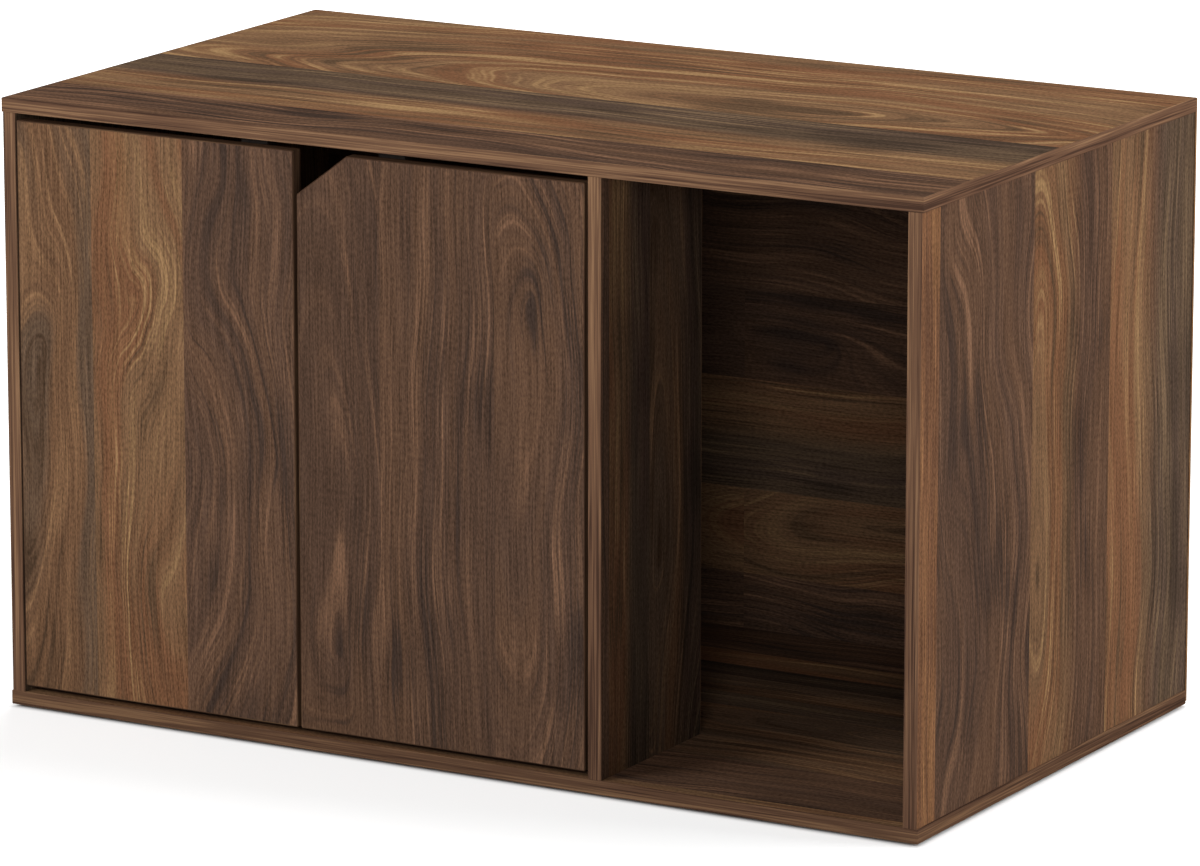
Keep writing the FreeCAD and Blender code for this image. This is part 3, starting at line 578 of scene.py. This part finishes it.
# each finish, with the endings of the names of the nodes that have it
finishes = [
    (edgeStrip("topEdgeStrip", "Z"), ["top_edge_band"]),
    (edgeStrip("bottomEdgeStrip", "Z", 0.78), ["bottom_edge_band"]),
    (edgeStrip("uprightEdgeStrip", "X"), ["side_edge_band", "divider_edge_bands"]),
    # the door strips at 0.45 are painted shade: darkened so the gaps between and round the doors look dark
    (edgeStrip("doorEdgeStripPaintedShade", "Y", 0.45), ["door_edge_band"]),
    (metalFinish("nickelledSteel", "dad7d0", "c2bfb8", 0.42), ["hinge_arm", "hinge_cup", "hinge_plate"]),
    (metalFinish("castZinc", "b9bbbd", "96989b", 0.45), ["cam_locks"]),
    (metalFinish("zincPlatedSteel", "c6c4bb", "a5a39a", 0.34),
     ["nails", "bolts", "screws", "screw", "hinge_pin"]),
    (beechFinish("turnedBeech"), ["dowels"]),
    (mouldedFinish("brownGlidePlastic", "3f3029", "33261f", 0.5), ["floor_glides"]),
    # the catch housings are dark brown plastic, made darker still as painted shade so they sink into the dark
    # gap above the doors
    (mouldedFinish("catchPlasticDarkenedAsShade", "2a211b", "1f1814", 0.6, 0.15), ["catch_housing"]),
    (mouldedFinish("ferriteBlock", "3a3a3c", "29292b", 0.62), ["catch_magnet"]),
    (metalFinish("catchSteel", "bdbcb8", "98979a", 0.36), ["catch_poles", "strike_plate"]),
]
for material, endings in finishes:
    for nodeName in nodes:
        if nodeName.endswith(tuple(endings)):
            paint(nodeName, material)
print("finishes: done")


def seenDirectly(tree):
    # 1 for what the camera, the gloss and the glass see, 0 for light on the object
    path = addNode(tree, "LightPath").outputs
    seen = calc(tree, "MAXIMUM", path["Is Camera Ray"], path["Is Glossy Ray"])
    return calc(tree, "MAXIMUM", seen, path["Is Transmission Ray"])


# Pale floor. What the camera and the gloss see of it is lifted towards white outside the cabinet's own
# footprint, more so far away, and the shadow on it stays.
floorSettings = {"size": 60.0, "colour": "e6e6e6", "nearLift": 0.56, "farLift": 0.97, "farDistance": 3.2,
                 "footprint": (0.444, 0.252), "edge": 0.012}


def makeFloor():
    use = floorSettings
    bm = bmesh.new()
    bmesh.ops.create_grid(bm, x_segments=1, y_segments=1, size=use["size"] / 2)
    mesh = bpy.data.meshes.new("studioFloor")
    bm.to_mesh(mesh)
    bm.free()
    floor = bpy.data.objects.new("studioFloor", mesh)
    scene.collection.objects.link(floor)
    material, tree, shader = newMaterial("paleFloor", specular=0.0)
    shader.inputs["Base Color"].default_value = tint(use["colour"])
    shader.inputs["Roughness"].default_value = 1.0
    parts = addNode(tree, "SeparateXYZ", {0: objectPlace(tree)}).outputs
    outside = [calc(tree, "SUBTRACT", calc(tree, "ABSOLUTE", parts[i]), use["footprint"][i]) for i in (0, 1)]
    away = calc(tree, "MAXIMUM", outside[0], outside[1])
    lift = softStep(tree, away, 0.0, use["farDistance"], use["nearLift"], use["farLift"])
    lift = calc(tree, "MULTIPLY", lift, softStep(tree, away, 0.0, use["edge"]))
    glow = addNode(tree, "Emission", {"Strength": calc(tree, "MULTIPLY", seenDirectly(tree), lift)})
    both = addNode(tree, "AddShader", {0: shader.outputs[0], 1: glow.outputs[0]})
    tree.links.new(both.outputs[0], tree.nodes["Material Output"].inputs[0])
    mesh.materials.append(material)


# White all round: how much of it lights the cabinet, and how bright the camera sees it.
worldSettings = {"fill": 0.15, "seen": 1.0}


def makeWorld():
    world = scene.world or bpy.data.worlds.new("World")
    scene.world = world
    world.use_nodes = True
    tree = world.node_tree
    tree.nodes.clear()
    seen = seenDirectly(tree)
    strength = mixFloat(tree, seen, worldSettings["fill"], worldSettings["seen"])
    light = addNode(tree, "Background", {"Color": (1.0, 1.0, 1.0, 1.0), "Strength": strength})
    out = addNode(tree, "OutputWorld")
    tree.links.new(light.outputs[0], out.inputs[0])


# Soft lamps, all aimed at the middle of the cabinet: where each stands, how wide it is and its watts.
lamps = {
    "frontSoftBox": {"place": (-2.6, -3.6, 2.2), "size": 2.2, "watts": 115.0},
    "cameraSoftBox": {"place": (2.3, -4.6, 1.8), "size": 1.3, "watts": 70.0},
    "rightSoftBox": {"place": (4.1, 1.5, 1.9), "size": 2.0, "watts": 126.0},
    "topSoftBox": {"place": (0.2, 1.3, 3.5), "size": 1.8, "watts": 64.0},
    "backSoftBox": {"place": (-2.2, 4.2, 1.9), "size": 2.0, "watts": 90.0},
}
lampAim = Vector((0.0, 0.0, 0.27))


def makeLamps():
    for name, lamp in lamps.items():
        data = bpy.data.lights.new(name, "AREA")
        data.shape = "SQUARE"
        data.size = lamp["size"]
        data.energy = lamp["watts"]
        lampObject = bpy.data.objects.new(name, data)
        lampObject.location = lamp["place"]
        lampObject.rotation_mode = "QUATERNION"
        lampObject.rotation_quaternion = (lampAim - Vector(lamp["place"])).to_track_quat("-Z", "Y")
        scene.collection.objects.link(lampObject)


# Camera: from the right front, a little above, with a long lens and no shift. The photograph's own
# view is level and shifted, so the corners of the cabinet lie up to about 15 of its 1200 pixels off.
cameraSettings = {"azimuth": 29.79, "elevation": 13.05, "distance": 6.424, "lens": 225.58,
                  "sensorWidth": 36.0, "target": (0.0787, -0.137, 0.2842)}


def makeCamera():
    azimuth = math.radians(cameraSettings["azimuth"])
    elevation = math.radians(cameraSettings["elevation"])
    level = math.cos(elevation)
    back = Vector((math.sin(azimuth) * level, -math.cos(azimuth) * level, math.sin(elevation)))
    camera = bpy.data.objects.new("photoCamera", bpy.data.cameras.new("photoCamera"))
    camera.data.sensor_width = cameraSettings["sensorWidth"]
    camera.data.lens = cameraSettings["lens"]
    camera.location = Vector(cameraSettings["target"]) + back * cameraSettings["distance"]
    camera.rotation_mode = "QUATERNION"
    camera.rotation_quaternion = (-back).to_track_quat("-Z", "Y")
    scene.collection.objects.link(camera)
    scene.camera = camera


makeFloor()
makeWorld()
makeLamps()
makeCamera()
print("stage, lamps and camera: done")
